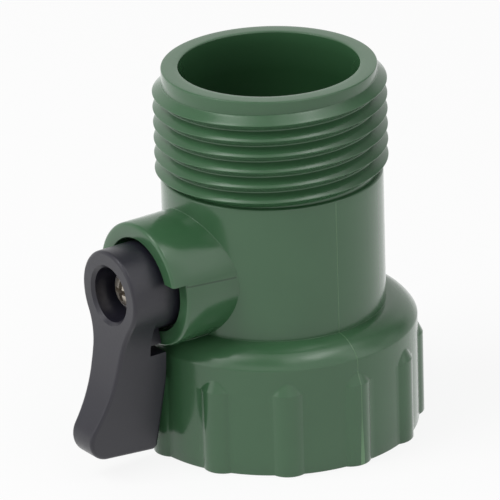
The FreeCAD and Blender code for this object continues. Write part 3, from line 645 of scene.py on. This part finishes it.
def ramp(tree, source, low, high):
    """A colour that goes from one to another while a mottle goes through its middle range."""
    node = tree.nodes.new("ShaderNodeValToRGB")
    for element, place, colour in zip(node.color_ramp.elements, MOTTLE_RANGE, (low, high)):
        element.position = place
        element.color = (*colour, 1.0)
    tree.links.new(source, node.inputs["Fac"])
    return node.outputs["Color"]


def tint(tree, base, mask, colour):
    """The base colour mixed with another one by a mask."""
    mix = tree.nodes.new("ShaderNodeMix")
    mix.data_type = "RGBA"
    tree.links.new(mask, mix.inputs["Factor"])
    tree.links.new(base, mix.inputs["A"])
    mix.inputs["B"].default_value = (*colour, 1.0)
    return mix.outputs["Result"]


def mix_shaders(tree, share, first, second):
    """The second of two shader nodes by a share, and the first one for the rest."""
    mix = tree.nodes.new("ShaderNodeMixShader")
    tree.links.new(share, mix.inputs["Fac"])
    tree.links.new(first.outputs[0], mix.inputs[1])
    tree.links.new(second.outputs[0], mix.inputs[2])
    return mix


def ray_share(tree, *names):
    """A value that is 1 for the named kinds of ray and 0 for the rest."""
    path = tree.nodes.new("ShaderNodeLightPath")
    total = path.outputs[names[0]]
    for name in names[1:]:
        total = math_node(tree, "MAXIMUM", total, path.outputs[name])
    return total


# Materials

def grain_group():
    """A node group: a slow mottle, a fine mottle and the normal of a fine moulded grain."""
    group = new_group("moulded_grain", ("Slow Scale", "Fine Scale", "Depth"), ("Slow", "Fine"),
                      ("Normal",))
    nodes, links = group.nodes, group.links
    entry = nodes.new("NodeGroupInput").outputs
    leave = nodes.new("NodeGroupOutput").inputs
    place = nodes.new("ShaderNodeTexCoord").outputs["Object"]
    mottle = {}
    for name, detail in (("Slow", SLOW_DETAIL), ("Fine", FINE_DETAIL)):
        noise = nodes.new("ShaderNodeTexNoise")
        noise.inputs["Detail"].default_value = detail
        links.new(place, noise.inputs["Vector"])
        links.new(entry[name + " Scale"], noise.inputs["Scale"])
        mottle[name] = noise.outputs["Fac"]
        links.new(mottle[name], leave[name])
    bump = nodes.new("ShaderNodeBump")
    bump.inputs["Distance"].default_value = GRAIN_DISTANCE * MM
    links.new(entry["Depth"], bump.inputs["Strength"])
    links.new(mottle["Fine"], bump.inputs["Height"])
    links.new(bump.outputs["Normal"], leave["Normal"])
    return group


def new_material(name):
    """A material, its node tree and its Principled BSDF."""
    material = bpy.data.materials.new(name)
    material.use_nodes = True
    tree = material.node_tree
    return material, tree, tree.nodes["Principled BSDF"]


def grained(grain_nodes, name, dark, light, roughness, slow_scale, fine_scale, depth):
    """A moulded or plated finish: colour between two tones by a slow mottle, roughness between two
    values by the fine one, and a fine grain in the normal."""
    material, tree, shader = new_material(name)
    grain = tree.nodes.new("ShaderNodeGroup")
    grain.node_tree = grain_nodes
    grain.inputs["Slow Scale"].default_value = slow_scale
    grain.inputs["Fine Scale"].default_value = fine_scale
    grain.inputs["Depth"].default_value = depth
    tree.links.new(ramp(tree, grain.outputs["Slow"], dark, light), shader.inputs["Base Color"])
    low, high = roughness - ROUGHNESS_SPREAD, roughness + ROUGHNESS_SPREAD
    rough = ramp(tree, grain.outputs["Fine"], (low,) * 3, (high,) * 3)
    tree.links.new(rough, shader.inputs["Roughness"])
    tree.links.new(grain.outputs["Normal"], shader.inputs["Normal"])
    return material


def body_masks():
    """A node group with three masks of the body: the mould line, near an upright plane through the
    flow axis, outside and below the thread, wider and paler at the foot; a painted shade line back
    along the boss from the cut-away's upper end; and painted shade on the bore's wall, deeper below
    the rim."""
    group = new_group("body_masks", outputs=("Mould Line", "Boss Shade Line", "Bore Shade"))
    leave = group.nodes.new("NodeGroupOutput").inputs
    x, y, z = object_place(group)

    def node(operation, *values):
        """A math node of this group."""
        return math_node(group, operation, *values)

    foot = share_of(group, z, SEAM_FOOT[0] * MM, SEAM_FOOT[1] * MM)
    width = node("MULTIPLY_ADD", foot, SEAM_FOOT_WIDTH * MM, SEAM_HALF_WIDTH * MM)
    off_plane = node("MULTIPLY_ADD", x, -math.tan(math.radians(SEAM_TURN)), y)
    seam = node("LESS_THAN", node("ABSOLUTE", off_plane), width)
    below = node("LESS_THAN", z, SEAM_TOP * MM)
    outside = node("GREATER_THAN", node("ABSOLUTE", x), SEAM_INNER_EDGE * MM)
    strength = node("MULTIPLY_ADD", foot, SEAM_FOOT_STRENGTH, SEAM_STRENGTH)
    group.links.new(product(group, seam, below, outside, strength), leave["Mould Line"])

    # Painted shade: a dark shadow line along the boss's side, level behind the cut-away's upper end
    behind_step = node("ADD", y, BOSS_STEP_REACH * MM)
    fallen = node("MULTIPLY_ADD", behind_step, BOSS_LINE_FALL, z)
    off_level = node("SUBTRACT", fallen, (BOSS_HEIGHT + STEP_LIFT - BOSS_LINE_DROP) * MM)
    level = node("LESS_THAN", node("ABSOLUTE", off_level), BOSS_LINE_HALF_WIDTH * MM)
    out = node("LESS_THAN", y, BOSS_LINE_BACK * MM)
    beside = node("GREATER_THAN", x, BOSS_LINE_SIDE * MM)
    behind = node("GREATER_THAN", y, BOSS_LINE_FRONT * MM)
    boss_shade_line = product(group, level, out, beside, behind, BOSS_LINE_STRENGTH)
    group.links.new(boss_shade_line, leave["Boss Shade Line"])

    # Painted shade: the bore's wall darkened from its rim downwards
    inside = node("LESS_THAN", off_axis(group, x, y), BORE_SHADE_RADIUS * MM)
    deep = share_of(group, z, BORE_SHADE[0] * MM, BORE_SHADE[1] * MM)
    group.links.new(product(group, inside, deep), leave["Bore Shade"])
    return group


def screw_masks():
    """A node group: a mask of the screw head's rim for a painted highlight, by the distance from the
    boss's axis.
    """
    group = new_group("screw_masks", outputs=("Rim Highlight",))
    leave = group.nodes.new("NodeGroupOutput").inputs
    x, y, z = object_place(group)
    radius = off_axis(group, x, math_node(group, "SUBTRACT", z, BOSS_HEIGHT * MM))
    rim = share_of(group, radius, SCREW_RIM[0] * MM, SCREW_RIM[1] * MM)
    group.links.new(rim, leave["Rim Highlight"])
    return group


def lay_tints(material, group, tints):
    """Lays tints over a material's base colour, each by its mask of a node group."""
    tree = material.node_tree
    shader = tree.nodes["Principled BSDF"]
    masks = tree.nodes.new("ShaderNodeGroup")
    masks.node_tree = group
    colour = shader.inputs["Base Color"].links[0].from_socket
    for name, tone in tints:
        colour = tint(tree, colour, masks.outputs[name], tone)
    tree.links.new(colour, shader.inputs["Base Color"])
    return shader


def make_finishes():
    """The finishes by material slot: semi-gloss green, paler on the mould line, with painted shade
    down the bore and a painted shade line along the boss, satin black for the lever, brownish
    plating with a painted highlight on its rim, and plain ones for the pieces inside."""
    grain = grain_group()
    made = {slot: grained(grain, slot, *values) for slot, values in FINISHES.items()}
    # Tints over the green: the mould line, then painted shade along the boss and down the bore
    tints = (("Mould Line", SEAM_TINT), ("Boss Shade Line", BOSS_SHADE_TINT), ("Bore Shade", BORE_SHADE_TINT))
    green = lay_tints(made["green_plastic"], body_masks(), tints)
    green.inputs["IOR"].default_value = GREEN_IOR
    # Painted highlight on the screw head's rim
    plating = lay_tints(made["screw_plating"], screw_masks(), (("Rim Highlight", SCREW_RIM_HIGHLIGHT),))
    plating.inputs["Metallic"].default_value = PLATING_METALLIC
    return made


def dress_nodes(finishes):
    """Gives every node of the frame the finish of its material slot."""
    for part in frame["record"]["subparts"]:
        node = frame["nodes"][part["node"]]
        node.data.materials.clear()
        node.data.materials.append(finishes[part["material_slot"]])


# Studio

def soft_edge(tree, distance, middle, width):
    """1 below a distance and 0 above it, with a smooth step of a given width between."""
    node = tree.nodes.new("ShaderNodeMapRange")
    node.interpolation_type = "SMOOTHSTEP"
    tree.links.new(distance, node.inputs["Value"])
    half = math_node(tree, "MULTIPLY", width, 0.5)
    tree.links.new(math_node(tree, "SUBTRACT", middle, half), node.inputs["From Min"])
    tree.links.new(math_node(tree, "ADD", middle, half), node.inputs["From Max"])
    node.inputs["To Min"].default_value = 1.0
    node.inputs["To Max"].default_value = 0.0
    return node.outputs["Result"]


def card_group():
    """A node group: the mask of a soft-edged card, given by its azimuth and elevation in degrees."""
    group = new_group("soft_card", ("Azimuth", "Elevation", "Middle", "Half Width",
                                    "Middle Height", "Half Height", "Edge"), ("Mask",))
    entry = group.nodes.new("NodeGroupInput").outputs
    leave = group.nodes.new("NodeGroupOutput").inputs
    aside = math_node(group, "SUBTRACT", entry["Azimuth"], entry["Middle"])
    aside = math_node(group, "ABSOLUTE", math_node(group, "WRAP", aside, 180.0, -180.0))
    above = math_node(group, "SUBTRACT", entry["Elevation"], entry["Middle Height"])
    above = math_node(group, "ABSOLUTE", above)
    wide = soft_edge(group, aside, entry["Half Width"], entry["Edge"])
    tall = soft_edge(group, above, entry["Half Height"], entry["Edge"])
    group.links.new(product(group, wide, tall), leave["Mask"])
    return group


def studio_radiance(tree):
    """The radiance of the studio in a direction: the walls, with one card laid over another."""
    place = tree.nodes.new("ShaderNodeTexCoord")
    split = tree.nodes.new("ShaderNodeSeparateXYZ")
    tree.links.new(place.outputs["Generated"], split.inputs[0])
    turn = math_node(tree, "ARCTAN2", split.outputs["Y"], split.outputs["X"])
    azimuth = math_node(tree, "SUBTRACT", math_node(tree, "DEGREES", turn), CAMERA_AZIMUTH)
    elevation = math_node(tree, "DEGREES", math_node(tree, "ARCSINE", split.outputs["Z"]))
    masks = card_group()
    radiance = None
    for name, level, middle, half_width, low, high, edge in CARDS:
        card = tree.nodes.new("ShaderNodeGroup")
        card.node_tree = masks
        card.name = name
        tree.links.new(azimuth, card.inputs["Azimuth"])
        tree.links.new(elevation, card.inputs["Elevation"])
        card.inputs["Middle"].default_value = middle
        card.inputs["Half Width"].default_value = half_width
        card.inputs["Middle Height"].default_value = (low + high) / 2
        card.inputs["Half Height"].default_value = (high - low) / 2
        card.inputs["Edge"].default_value = edge
        mix = tree.nodes.new("ShaderNodeMix")
        tree.links.new(card.outputs["Mask"], mix.inputs["Factor"])
        mix.inputs["A"].default_value = WALLS
        if radiance is not None:
            tree.links.new(radiance, mix.inputs["A"])
        mix.inputs["B"].default_value = level
        radiance = mix.outputs["Result"]
    return radiance


def make_world():
    """White where the camera looks, walls, boxes and cards in glosses and glass, and plain soft
    light elsewhere."""
    world = bpy.data.worlds.new("studio")
    bpy.context.scene.world = world
    world.use_nodes = True
    tree = world.node_tree
    light = tree.nodes["Background"]
    walls = tree.nodes.new("ShaderNodeBackground")
    shown = tree.nodes.new("ShaderNodeBackground")
    for background in (light, walls, shown):
        background.inputs["Color"].default_value = WHITE
    light.inputs["Strength"].default_value = SKY_STRENGTH
    tree.links.new(studio_radiance(tree), walls.inputs["Strength"])
    in_gloss = ray_share(tree, "Is Glossy Ray", "Is Transmission Ray")
    unseen = mix_shaders(tree, in_gloss, light, walls)
    whole = mix_shaders(tree, ray_share(tree, "Is Camera Ray"), unseen, shown)
    tree.links.new(whole.outputs[0], tree.nodes["World Output"].inputs["Surface"])


def make_floor():
    """A plain pale floor under the valve that keeps its shadow."""
    half = FLOOR_HALF
    corners = [(-half, -half, 0), (half, -half, 0), (half, half, 0), (-half, half, 0)]
    mesh = bpy.data.meshes.new("floor")
    mesh.from_pydata(corners, [], [(0, 1, 2, 3)])
    floor = put_in_scene("floor", mesh)
    floor.location.z = -FLOOR_DROP
    material, tree, shader = new_material("pale_floor")
    shader.inputs["Base Color"].default_value = (FLOOR_TONE, FLOOR_TONE, FLOOR_TONE, 1)
    shader.inputs["Roughness"].default_value = FLOOR_ROUGHNESS
    shader.inputs["Specular IOR Level"].default_value = 0.0
    glow = tree.nodes.new("ShaderNodeEmission")
    in_gloss = ray_share(tree, "Is Glossy Ray", "Is Transmission Ray")
    strength = math_node(tree, "MULTIPLY_ADD", in_gloss, FLOOR_GLOW_IN_GLOSS, 1.0)
    tree.links.new(strength, glow.inputs["Strength"])
    seen = ray_share(tree, "Is Camera Ray", "Is Glossy Ray", "Is Transmission Ray")
    mix = mix_shaders(tree, product(tree, seen, FLOOR_GLOW_SHARE), shader, glow)
    tree.links.new(mix.outputs[0], tree.nodes["Material Output"].inputs["Surface"])
    mesh.materials.append(material)


def direction(azimuth, elevation):
    """The unit vector of an azimuth and an elevation in degrees."""
    turn, rise = math.radians(azimuth), math.radians(elevation)
    return Vector((math.cos(turn) * math.cos(rise), math.sin(turn) * math.cos(rise), math.sin(rise)))


def area_lamp(name, azimuth, elevation, distance, size, radiance):
    """A soft box at a direction from the valve's middle. Its power is pi x its area x its radiance.
    The world's cards stand for it in glosses, so that its gloss has soft edges."""
    lamp = bpy.data.lights.new(name, "AREA")
    lamp.shape = "RECTANGLE"
    lamp.size, lamp.size_y = size
    lamp.energy = math.pi * size[0] * size[1] * radiance
    holder = put_in_scene(name, lamp)
    away = direction(CAMERA_AZIMUTH + azimuth, elevation)
    holder.location = TARGET + away * distance
    holder.rotation_mode = "QUATERNION"
    holder.rotation_quaternion = away.to_track_quat("Z", "Y")
    holder.visible_glossy = False


def make_camera():
    """The photograph's view: its axis passes beside the valve's middle, so that the middle lands on
    its place in the frame without any lens shift."""
    back = direction(CAMERA_AZIMUTH, CAMERA_ELEVATION)
    turn = math.radians(CAMERA_AZIMUTH)
    right = Vector((-math.sin(turn), math.cos(turn), 0))
    up = back.cross(right)
    roll = Matrix.Rotation(math.radians(-CAMERA_ROLL), 3, back)
    right, up = roll @ right, roll @ up
    off_x = (TARGET_PIXEL[0] - FRAME_PIXELS / 2) / FOCAL_PIXELS
    off_y = (FRAME_PIXELS / 2 - TARGET_PIXEL[1]) / FOCAL_PIXELS
    forward = (-back - right * off_x - up * off_y).normalized()
    right = (right - forward * right.dot(forward)).normalized()
    up = right.cross(forward)
    lens = bpy.data.cameras.new("camera")
    lens.sensor_width = SENSOR_WIDTH
    lens.lens = SENSOR_WIDTH * FOCAL_PIXELS / FRAME_PIXELS
    lens.clip_start, lens.clip_end = CAMERA_CLIP
    camera = put_in_scene("camera", lens)
    axes = Matrix((right, up, -forward)).transposed()
    camera.matrix_world = Matrix.Translation(TARGET + back * CAMERA_DISTANCE) @ axes.to_4x4()
    bpy.context.scene.camera = camera


finishes = make_finishes()
dress_nodes(finishes)

patches = [body_patch(), thread_patch(), boss_patch(),
           flash_patch(SEAM_TURN), flash_patch(SEAM_TURN + 180)]
shell = make_piece("body_shell", patches, "valve", finishes["green_plastic"])
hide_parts("valve_body")

make_world()
make_floor()
for lamp in LAMPS:
    area_lamp(*lamp)
make_camera()

scene = bpy.context.scene
scene.view_settings.view_transform = "Standard"
